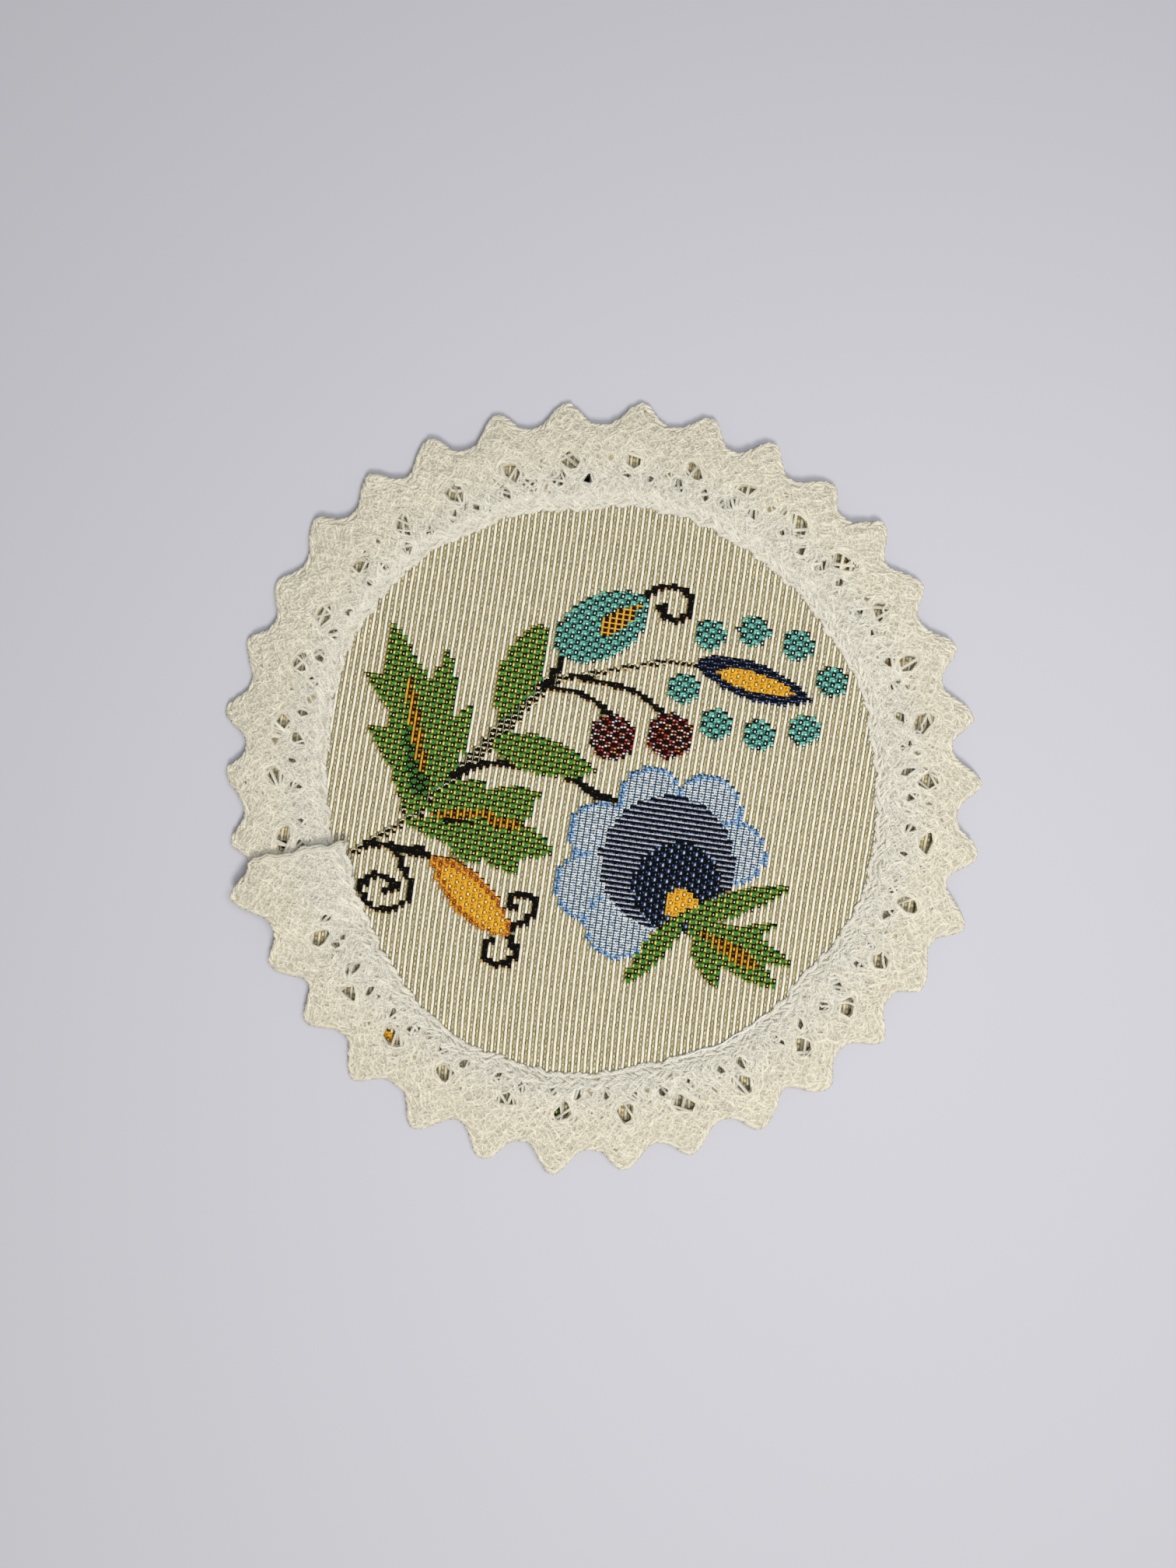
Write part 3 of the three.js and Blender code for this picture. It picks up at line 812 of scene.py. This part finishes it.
# the reverse of a jacquard cloth: olive weft floats crossing, with short cream stitches of the warp
def clothBack():
    material = startMaterial("jacquard_cotton_reverse")
    place = addNode(material, "TexCoord")
    turned = addNode(material, "Mapping", {"Vector": place.outputs["Object"], "Rotation": (0, 0, leanTurn)})
    picks = addNode(material, "TexBrick", {
        "Vector": turned.outputs[0], "Scale": 1000.0, "Color1": solid("a89a68"), "Color2": solid("958a5e"),
        "Mortar": solid("5d5330"), "Mortar Size": 0.07, "Mortar Smooth": 0.6,
        "Brick Width": weave["ribPitch"], "Row Height": weave["pickPair"] / 2}, {"offset": 0.5})
    fibre = fibreNoise(material, 3500.0, 3.0)
    mix = addNode(material, "Mix", {0: 0.5, 6: picks.outputs[0], 7: fibre.outputs[1]},
                  {"data_type": "RGBA", "blend_type": "MULTIPLY"})
    lift = mathNode(material, "SUBTRACT", fibre.outputs[0], picks.outputs[1])
    bump = addNode(material, "Bump", {"Height": lift, "Strength": 0.6, "Distance": 0.00012})
    return endMaterial(material, {"Base Color": mix.outputs[2], "Roughness": 0.85, "Normal": bump.outputs[0]})


random = np.random.default_rng(35)
woven = makeWeave()
flatThread = jacquardThread("jacquard_cotton_weft", 0.85, 0.10)
warpThread = jacquardThread("jacquard_cotton_warp", 0.60, 0.35)
clothBody = makeClothBody(clothBack())
wovenFace = makeFace(woven, random, flatThread)
motifFloats = makeFloats(woven, random, warpThread)
warpRibs = makeRibs(woven, random, warpThread)
finishPiece(clothBody, "jacquard_cloth", "woven_disc")
for piece in (wovenFace, motifFloats, warpRibs):
    finishPiece(piece, "jacquard_cloth")
print("cloth woven")


# the lace: one strip of cotton yarns, drawn flat as angle and radius and then laid on the underside's height

net = {
    "crossing": 0.686,                  # mm along the ring between strands of one family
    "strand": (0.54, 0.24),             # width and height of a yarn
    "sheet": 0.84,                      # the yarns under the surface, as one cloth
    "sheetDrop": 0.10,                  # how far the sheet's top lies below the yarns' own height
    "crinkle": 0.13,
    "weaveLift": 0.05, "weavePaintedShade": (1.04, 0.80),       # over and under; the tint is painted light where a yarn crosses over and painted shade where it dips under
    "swaps": 0.12, "straight": 0.02, "bold": 0.4,       # shares of the crossings, and of the yarns
    "margins": (0.25, 0.1, 1.1, 0.45),  # degrees from the strip's ends, mm from its inner and pointed edges
    "meanRadius": 52,
    "settle": 0.34, "settleWidth": 3.2,                 # the sewing draws the inner edge down on to the ribs
    "lumps": 0.09,                      # soft unevenness, mm; its waves along and across the strip
    "lumpWaves": ((1.9, 0.6, 0), (-1.1, 1.7, 2), (2.9, -1.3, 4), (0.5, 2.6, 1), (-2.3, -1.9, 5),
                  (3.4, 1.8, 3), (-4.1, 2.2, 2), (2.1, 4.6, 0)),
    "endWaves": ((0.32, 0.9, 0), (0.16, 2.3, 1)),       # the folded end's edge: mm, rate, start
    "edgeWaves": ((0.13, 1.9, 0), (0.12, 1.13, 2), (0.10, 0.61, 1)),
    "largeHole": (1.62, 1.22, 51.4),    # half sizes, and its middle's greatest radius
    "smallHole": (0.68, 0.98, 22, 2.3, 2.7),   # half sizes, tilt, degrees from the tip, mm inside the large
    "pins": ((4.0, 0.30), (3.2, 0.40), (1.2, 0.32), (-0.6, 0.34), (-2.2, 0.22), (0.2, 0.26)),
    "pinShare": 0.75,
    "push": {"pin": 1.3, "small": 1.55, "large": 1.55}, "pushWidth": 4.5,      # how yarns part round holes
}
# sheet is darker than the yarns: painted shade of the yarns beneath the top ones; pin is the painted dark of
# the pin holes, which are not cut
yarnColours = {"outer": "ebe6d1", "inner": "e8e5d5", "sheet": "cfc6aa", "hollow": "b9ad88", "pin": "93845f"}


def laceHoles():
    # one large and two small holes for each point, and pin holes between the points
    holes = []
    rows = lace["rows"]
    across, along, outermost = net["largeHole"]
    half, tall, tilt, aside, inward = net["smallHole"]
    random = np.random.default_rng(11)
    vary = random.uniform

    def addHole(kind, angle, radius, across, along, tilt, bend):
        holes.append({"kind": kind, "angle": angle, "radius": radius, "across": across, "along": along,
                      "tilt": math.radians(tilt), "bend": vary(0.3, 1.0, 2) * bend,
                      "phase": vary(0, 2 * math.pi, 2)})

    for i, (angle, tip, neck, seat, large, lean) in enumerate(rows):
        if large is None:
            continue
        large = min(large - lace["holeInset"], outermost)
        addHole("large", angle + lace["holeTurn"] + vary(-0.3, 0.3), large,
                across * vary(0.72, 1.05), along * vary(0.75, 1.1),
                vary(-70, 70), 0.2)
        for side in (-1, 1):
            addHole("small", angle + side * (aside + vary(-0.4, 0.4)),
                    large - inward + vary(-0.4, 0.3), half * vary(0.6, 1.2),
                    tall * vary(0.7, 1.15), -side * tilt * vary(-0.4, 2.2), 0.25)
        after = rows[i + 1][0] if i + 1 < len(rows) else lace["tailNotch"] * 2 - angle
        for inside, size in net["pins"]:
            if vary() < net["pinShare"]:
                size = size * vary(0.8, 1.5)
                addHole("pin", (angle + after) / 2 + vary(-2.2, 2.2),
                        large - inside + vary(-0.5, 0.5), size, size * vary(0.5, 1.6),
                        vary(-60, 60), 0.25)
    return holes


holes = laceHoles()
through = [hole for hole in holes if hole["kind"] != "pin"]


def holeShare(angle, radius, hole):
    # place relative to a hole as a vector, and how far out it is, 1 at the rim
    x = np.radians(hole["angle"] - angle) * hole["radius"]
    y = radius - hole["radius"]
    cosine, sine = math.cos(hole["tilt"]), math.sin(hole["tilt"])
    u = (x * cosine + y * sine) / hole["across"]
    v = (-x * sine + y * cosine) / hole["along"]
    turn, bend, phase = np.arctan2(v, u), hole["bend"], hole["phase"]
    rim = 1 + bend[0] * np.cos(2 * turn + phase[0]) + bend[1] * np.cos(3 * turn + phase[1])
    return u, v, np.hypot(u, v) / rim


def fromHole(u, v, hole):
    cosine, sine = math.cos(hole["tilt"]), math.sin(hole["tilt"])
    x, y = u * hole["across"], v * hole["along"]
    x, y = x * cosine - y * sine, x * sine + y * cosine
    return hole["angle"] - np.degrees(x / hole["radius"]), hole["radius"] + y


def openHoles(angle, radius, straight):
    # yarns part round each hole. A straight one crosses all but the pin holes
    for hole in holes:
        near = np.abs(angle - hole["angle"]) < 4.5
        if (straight and hole["kind"] != "pin") or not near.any():
            continue
        u, v, far = holeShare(angle[near], radius[near], hole)
        wanted = np.sqrt(far ** 2 + net["push"][hole["kind"]] * np.exp(-far ** 2 / net["pushWidth"]))
        scale = wanted / np.maximum(far, 0.05)
        angle[near], radius[near] = fromHole(u * scale, v * scale, hole)
    return angle, radius


def laceToPlace(angle, radius, lift):
    # the folded end's edge is uneven, and the inner edge is sewn down
    loose = 1 - rampUp(angle, lace["foldedEnd"][0], lace["foldedEnd"][0] + 3)
    turn = np.radians(angle) + loose * waves(radius, net["endWaves"]) / radius
    gathers = lace["gatherHeight"] * (1 + np.sin(lace["gatherCount"] * np.radians(angle)))
    down = (net["settle"] + gathers) * (1 - rampUp(radius - innerEdge(angle), 0, net["settleWidth"]))
    return np.stack([radius * np.cos(turn) - middle[0], radius * np.sin(turn) - middle[1],
                     laceUnderside(angle, radius) - down + lift], -1)


def edgeWander(angle):
    return waves(np.radians(angle) * edging["radius"], net["edgeWaves"])


def laceLumps(angle, radius):
    x = np.radians(angle) * net["meanRadius"]
    return sum(np.sin(x * a + radius * b + c) for a, b, c in net["lumpWaves"]) / 3


def laceThickness(angle, radius):
    # thinner where it is sewn down and towards the points, and softly uneven all over
    fromInner, fromOuter = radius - innerEdge(angle), outerEdge(angle) - radius
    even = net["sheet"] * (0.27 + 0.73 * rampUp(fromInner, 0, 3.0))
    even = even * (0.62 + 0.38 * rampUp(fromOuter, 0, 1.1))
    return even + net["lumps"] * laceLumps(angle, radius) * rampUp(fromInner, 0, 1.5)


sheetForm = {
    "step": 0.5, "across": 30,          # degrees between its rows, and points in each
    "margins": (0.12, 0.08),            # mm inside the strip's two edges
    "rough": 0.035,
    "hollow": (0.5, 0.34),              # width and depth of the dip round a hole, as shares
}


def makeLaceSheet(material):
    random = np.random.default_rng(3)
    angle, share = np.meshgrid(np.arange(lace["foldedEnd"][0], lace["tail"][0] + 0.01, sheetForm["step"]),
                               np.linspace(0, 1, sheetForm["across"]), indexing="ij")
    low = innerEdge(angle) + sheetForm["margins"][0] + edgeWander(angle)
    radius = low + (outerEdge(angle) - sheetForm["margins"][1] - low) * share
    wide, tall = angle.shape
    keep = np.ones((wide - 1, tall - 1), bool)
    middleAngle = (angle[:-1, :-1] + angle[1:, 1:]) / 2
    middleRadius = (radius[:-1, :-1] + radius[1:, :-1] + radius[:-1, 1:] + radius[1:, 1:]) / 4
    for hole in through:
        keep &= holeShare(middleAngle, middleRadius, hole)[2] > 1
    touched = np.zeros((wide, tall), bool)
    for da in (0, 1):
        for db in (0, 1):
            touched[da:wide - 1 + da, db:tall - 1 + db] |= ~keep
    for hole in through:
        u, v, far = holeShare(angle, radius, hole)
        mine = touched & (far < 1.6) & (far > 0.05)
        angle[mine], radius[mine] = fromHole(u[mine] / far[mine], v[mine] / far[mine], hole)
    angle, radius = angle.ravel(), radius.ravel()
    count = len(angle)
    thickness = laceThickness(angle, radius)
    rough = random.normal(0, sheetForm["rough"], count)
    top = laceToPlace(angle, radius, thickness - net["sheetDrop"] + rough)
    bottom = laceToPlace(angle, radius, 0.0)
    # the cloth shows through round the holes. The sheet's own cream is darker than the yarns': painted shade
    # of the yarns beneath the top ones. The pin holes are not cut but painted dark brown: the cloth's colour
    # darkened by painted shade, as if seen down a hole
    flat, hollow, pin = (np.array(toLinear(yarnColours[part])) for part in ("sheet", "hollow", "pin"))
    width, depth = sheetForm["hollow"]
    thin = np.zeros(count)
    for hole in through:
        thin = np.maximum(thin, np.exp(-((holeShare(angle, radius, hole)[2] - 1) / width) ** 2))
    top[:, 2] -= depth * thin * thickness
    thin = (thin * random.uniform(0.1, 1.0, count))[:, None]
    # painted light and shade on the lumps: lighter on their tops, darker in their dips
    paintedLumpShading = 1 + 0.05 * laceLumps(angle, radius)[:, None]
    colours = (flat * (1 - thin) + hollow * thin) * random.uniform(0.95, 1.04, (count, 1)) * paintedLumpShading
    for hole in holes:
        if hole["kind"] == "pin":
            # the pin holes are not cut but painted dark: painted shade of the cloth seen through them
            colours[holeShare(angle, radius, hole)[2] < 1.0] = pin * random.uniform(0.5, 1.5)
    # top, underside, and a wall along every free edge
    number = np.arange(count).reshape(wide, tall)
    upper = np.stack([number[:-1, :-1], number[1:, :-1], number[1:, 1:], number[:-1, 1:]], -1)[keep][:, ::-1]
    edges = np.concatenate([upper[:, [k, (k + 1) % 4]] for k in range(4)])
    known = {(a, b) for a, b in edges.tolist()}
    walls = [[a, a + count, b + count, b] for a, b in known if (b, a) not in known]
    faces = np.concatenate([upper, upper[:, ::-1] + count, np.array(walls)])
    used, renumbered = np.unique(faces, return_inverse=True)
    points = np.concatenate([top, bottom])[used] * mm
    # the underside is painted a little darker: painted shade
    colours = np.concatenate([colours, colours * 0.96])[used]
    print("lace sheet", len(faces), "faces")
    return buildMesh("lace_sheet", points, renumbered.reshape(faces.shape).tolist(), material, colours)


class Strands:
    # gathers yarns, each a low ridge with a flat underside
    sideShade = 0.72, 1.04, 0.72        # a yarn's sides lie in its neighbours' shade
    endTaper = 0.45

    def __init__(self, name):
        self.name, self.count = name, 0
        self.points, self.faces, self.colours, self.uvs = [], [], [], []

    def add(self, path, colours, width, height):
        n = len(path)
        if n < 3:
            return
        along = np.gradient(path, axis=0)
        along /= np.linalg.norm(along, axis=1)[:, None] + 1e-12
        side = np.stack([along[:, 1], -along[:, 0], np.zeros(n)], 1)
        side /= np.linalg.norm(side, axis=1)[:, None] + 1e-12
        up = np.cross(side, along)
        taper = np.ones(n)
        taper[0] = taper[-1] = self.endTaper
        foot = path - up * (height / 4 * taper)[:, None]
        aside = side * (width / 2 * taper)[:, None]
        rings = np.stack([foot + aside, path + up * (height / 2 * taper)[:, None], foot - aside], 1)
        self.points.append(rings.reshape(-1, 3))
        self.colours.append((colours[:, None, :] * np.array(self.sideShade)[None, :, None]).reshape(-1, 3))
        length = np.concatenate([[0], np.cumsum(np.linalg.norm(np.diff(path, axis=0), axis=1))])
        # four corners of each face: which ring along the yarn, and which point round it
        ring = np.arange(n - 1)[:, None, None] + np.array([0, 0, 1, 1])
        point = np.arange(3)[None, :, None] + np.array([0, 1, 1, 0])
        self.faces += (self.count + 3 * ring + point % 3).reshape(-1, 4).tolist()
        self.uvs.append(np.stack(np.broadcast_arrays(length[ring], point / 3), -1).reshape(-1, 2))
        first, last = self.count, self.count + 3 * (n - 1)
        self.faces += [[first + 2, first + 1, first], [last, last + 1, last + 2]]
        self.uvs.append(np.zeros((6, 2)))
        self.count += 3 * n

    def build(self, material):
        piece = buildMesh(self.name, np.concatenate(self.points) * mm, self.faces, material,
                          np.concatenate(self.colours), np.concatenate(self.uvs))
        # the foot's two edges are sharp, so that a yarn is shaded as a soft ridge
        ends = np.empty(len(piece.data.edges) * 2, int)
        piece.data.edges.foreach_get("vertices", ends)
        first, second = ends.reshape(-1, 2).T
        sharp = piece.data.attributes.new("sharp_edge", "BOOLEAN", "EDGE")
        sharp.data.foreach_set("value", (first % 3 == second % 3) & (first % 3 != 1))
        print(self.name, sum(len(face) - 2 for face in self.faces), "triangles")
        return piece


def yarnTint(angle, radius, random):
    # warmer towards the points, whiter at the footing, a little different in each yarn, and painted lighter
    # on the lumps' tops and darker in their dips
    share = rampUp(radius, 47.5, 53)[:, None]
    inner, outer = (np.array(toLinear(yarnColours[part])) for part in ("inner", "outer"))
    tint = (inner * (1 - share) + outer * share) * random.uniform(0.92, 1.06)
    # painted light and shade on the lumps, as on the sheet
    paintedLumpShading = 1 + 0.05 * laceLumps(angle, radius)[:, None]
    return np.clip(tint * random.uniform(0.96, 1.04, (len(share), 1)) * paintedLumpShading, 0, 1)


def makeNet(random, material):
    # two families of yarns cross over and under between the footing and the pointed border
    vary = random.uniform
    step, mean = net["crossing"], net["meanRadius"]
    first, last = lace["foldedEnd"][0], lace["tail"][0]
    startGap, endGap, innerGap, outerGap = net["margins"]
    count = int(math.radians(last - first) * mean / step) + 1
    reach = int(19 / step) + 2
    b = np.arange(0, reach * 2)
    pieces = []
    for family, name in ((1, "lace_net_left"), (-1, "lace_net_right")):
        strands = Strands(name)
        for a in range(-reach, count + reach):
            angle = first + np.degrees((a * step + family * b * step / 2) / mean)
            radius = innerEdge(angle) + innerGap + b * step / 2
            inside = (angle > first + startGap) & (angle < last - endGap)
            inside &= radius < outerEdge(angle) - outerGap
            for start, end in runsOf(inside):
                if end - start < 3:
                    continue
                n = end - start
                sway = 0.16 * np.sin(vary(0, 6.3) + np.arange(n) * vary(0.5, 1.1))
                turn = angle[start:end] + np.degrees((random.normal(0, net["crinkle"], n) + sway) / mean)
                far = radius[start:end] + random.normal(0, net["crinkle"], n) - family * sway
                turn, far = openHoles(turn, far, vary() < net["straight"])
                bold = vary() < net["bold"]
                lift = laceThickness(turn, far) + vary(-0.03, 0.02, n) - (0.02 if bold else 0.05)
                over = ((b[start:end] % 2 == 0) == (family > 0)) ^ (vary(0, 1, n) < net["swaps"])
                lift = lift + net["weaveLift"] * np.where(over, 1, -1)
                lift[[0, -1]] -= 0.12
                path = laceToPlace(turn, far, lift)
                width = net["strand"][0] * vary(0.85, 1.0) * (0.85 if bold else 1.05)
                # over-crossings are painted lighter and under-crossings darker: painted light and shade
                tint = yarnTint(turn, far, random) * np.where(over, *net["weavePaintedShade"])[:, None]
                strands.add(path, np.minimum(tint, 0.95), width, net["strand"][1] * (1.0 if bold else 0.8))
        pieces.append(strands.build(material))
    return pieces


def polar(x, y, near):
    # back to the strip's own angle, which runs on past a full turn
    angle = np.degrees(np.arctan2(y, x))
    angle = angle + 360 * np.round((near - angle) / 360)
    return angle, np.hypot(x, y)


edging = {
    "radius": 44,                       # mm, where lengths along the footing are measured
    "edgeStitch": (0.60, 1.8, 0.0, 0.85),      # mm apart, length, from and to mm inside the pointed edge
    "edgeArch": (-0.16, 0.20),          # a stitch's ends below the lace's height, and its rise
    "footStitch": (0.62, 2.0),          # mm apart, length
    "footRows": ((0.00, 0.75), (0.70, 1.60), (1.40, 2.30)),    # mm outside the inner edge, from and to
    "footArch": (-0.12, 0.14),
    "cord": (0.45, 0.34),               # width and height of the edge's inner yarn and the folded end's yarns
    "endYarns": 4,
    "sewing": ((872, 1362), (890, 1356), (902, 1352), (915, 1344), (934, 1338), (950, 1328), (964, 1321),
               (976, 1313), (988, 1303)),      # the white thread, in the photo's pixels
    "sewingYarn": ("fbfaf4", 0.30, 0.24),
}


def makeBorder(random, material):
    # both edges are worked like a rope: short yarns that slant and overlap
    vary = random.uniform
    strands = Strands("lace_border")
    first, last = lace["foldedEnd"], lace["tail"]
    tangentX, tangentY = np.gradient(edgeX), np.gradient(edgeY)
    size = np.hypot(tangentX, tangentY)
    length = np.concatenate([[0], np.cumsum(np.hypot(np.diff(edgeX), np.diff(edgeY)))])

    def lay(angle, far, lift, size, shade=1.0):
        strands.add(laceToPlace(angle, far, lift), yarnTint(angle, far, random) * shade, *size)

    def arched(angle, far, share, low, rise):
        return laceThickness(angle, far) + low + rise * np.sin(math.pi * share) + vary(-0.03, 0.03)

    def pointedEdge(along, inward):
        x, y, normalX, normalY, near = (np.interp(along, length, values) for values in
                                        (edgeX, edgeY, tangentY / size, -tangentX / size, edgeAngles))
        return polar(x - normalX * inward, y - normalY * inward, near)

    gap, long, near, deep = edging["edgeStitch"]
    for start in np.arange(0, length[-1] - long, gap):
        reach = long * vary(0.75, 1.2)
        share = np.linspace(0, 1, 6)
        inward = near + (deep - near) * share * vary(0.5, 1.3) + random.normal(0, 0.04, 6)
        angle, far = pointedEdge(start + vary(-0.3, 0.3) + share * reach, inward)
        lay(angle, far, arched(angle, far, share, *edging["edgeArch"]), net["strand"])
    along = np.arange(0, length[-1], 0.5)          # the edge is two yarns thick
    angle, far = pointedEdge(along, 0.14 + random.normal(0, 0.04, len(along)))
    # the cord is a little darker: painted shade, as it lies low at the edge
    lay(angle, far, 0 * far + 0.18, edging["cord"], 0.96)
    # the footing, which lies on the ribs and wanders a little
    gap, long = edging["footStitch"]
    total = math.radians(last[0] - first[0]) * edging["radius"]
    for row, (near, deep) in enumerate(edging["footRows"]):
        for start in np.arange(0.3, total - long - 0.5, gap):
            reach = long * vary(0.7, 1.2)
            share = np.linspace(0, 1, 7)
            along = start + vary(-0.3, 0.3) + share * reach
            angle = first[0] + np.degrees(np.clip(along, 0.2, None) / edging["radius"])
            slant = share if vary() < 0.25 + 0.5 * (row % 2) else 1 - share
            inset = edgeWander(angle) + random.normal(0, 0.03, 7)
            slant = 0.5 + (slant - 0.5) * vary(0.6, 1.5)
            far = innerEdge(angle) + near + (deep - near) * slant + inset
            lift = arched(angle, far, share, *edging["footArch"])
            lay(angle, far, np.maximum(lift, 0.12), net["strand"])
    # a white sewing thread shows along the inner edge at the lower right
    x, y = np.array([placeOf(*spot) for spot in edging["sewing"]]).T
    share = np.linspace(0, len(x) - 1, 34)
    x, y = (np.interp(share, np.arange(len(x)), values) for values in (x + middle[0], y + middle[1]))
    angle = polar(x, y, last[0] - 250)[0]
    far = innerEdge(angle) + 0.02 + 0.14 * np.sin(share * 2.4)
    colour, *size = edging["sewingYarn"]
    white = np.tile(toLinear(colour), (len(share), 1))
    strands.add(laceToPlace(angle, far, 0.34 + 0.05 * np.sin(share * 5)), white, *size)
    # yarns across the folded end, the upper ones on its top
    for row in range(edging["endYarns"]):
        upper = row > 1
        far = np.arange(first[2] + 0.1, first[1] - 0.1, 0.5)
        n = len(far)
        angle = first[0] + np.degrees((0.08 + 0.34 * max(0, row - 1) + random.normal(0, 0.07, n)) / far)
        lift = laceThickness(angle, far) + (0.02 if upper else -0.10 - 0.30 * row)
        lift = lift + 0.06 * np.sin(np.arange(n) * 2.6 + row)
        # the lower yarns are painted darker: painted shade under the upper ones
        lay(angle, far, lift, edging["cord"], 0.98 if upper else 0.9)
    return strands.build(material)


# unbleached two-ply cotton yarn of a machine lace: matt with small glints where the plies twist
def cottonYarn(name, roughness):
    material = startMaterial(name)
    along = addNode(material, "UVMap", None, {"uv_map": "yarn"})
    parts = addNode(material, "SeparateXYZ", {0: along.outputs[0]})
    length = mathNode(material, "MULTIPLY", parts.outputs[0], 2.2)
    twist = mathNode(material, "MULTIPLY_ADD", parts.outputs[1], 2.0, length)
    ply = mathNode(material, "SINE", mathNode(material, "MULTIPLY", twist, 2 * math.pi))
    fibre = fibreNoise(material, 5000.0, 2.0)
    height = mathNode(material, "MULTIPLY_ADD", ply, 0.35, fibre.outputs[0])
    return endThread(material, height, (0.0, 1.0, 0.90, 1.04), 0.7,
                     {"Roughness": roughness, "Sheen Weight": 0.12})


yarn = cottonYarn("cotton_lace_yarn", 0.55)
laceSheet = makeLaceSheet(cottonYarn("cotton_lace_ground", 0.75))
netPieces = makeNet(np.random.default_rng(7), yarn)
border = makeBorder(np.random.default_rng(9), yarn)
finishPiece(laceSheet, "cotton_lace", "lace_edging")
for piece in (*netPieces, border):
    finishPiece(piece, "cotton_lace")
print("lace worked")
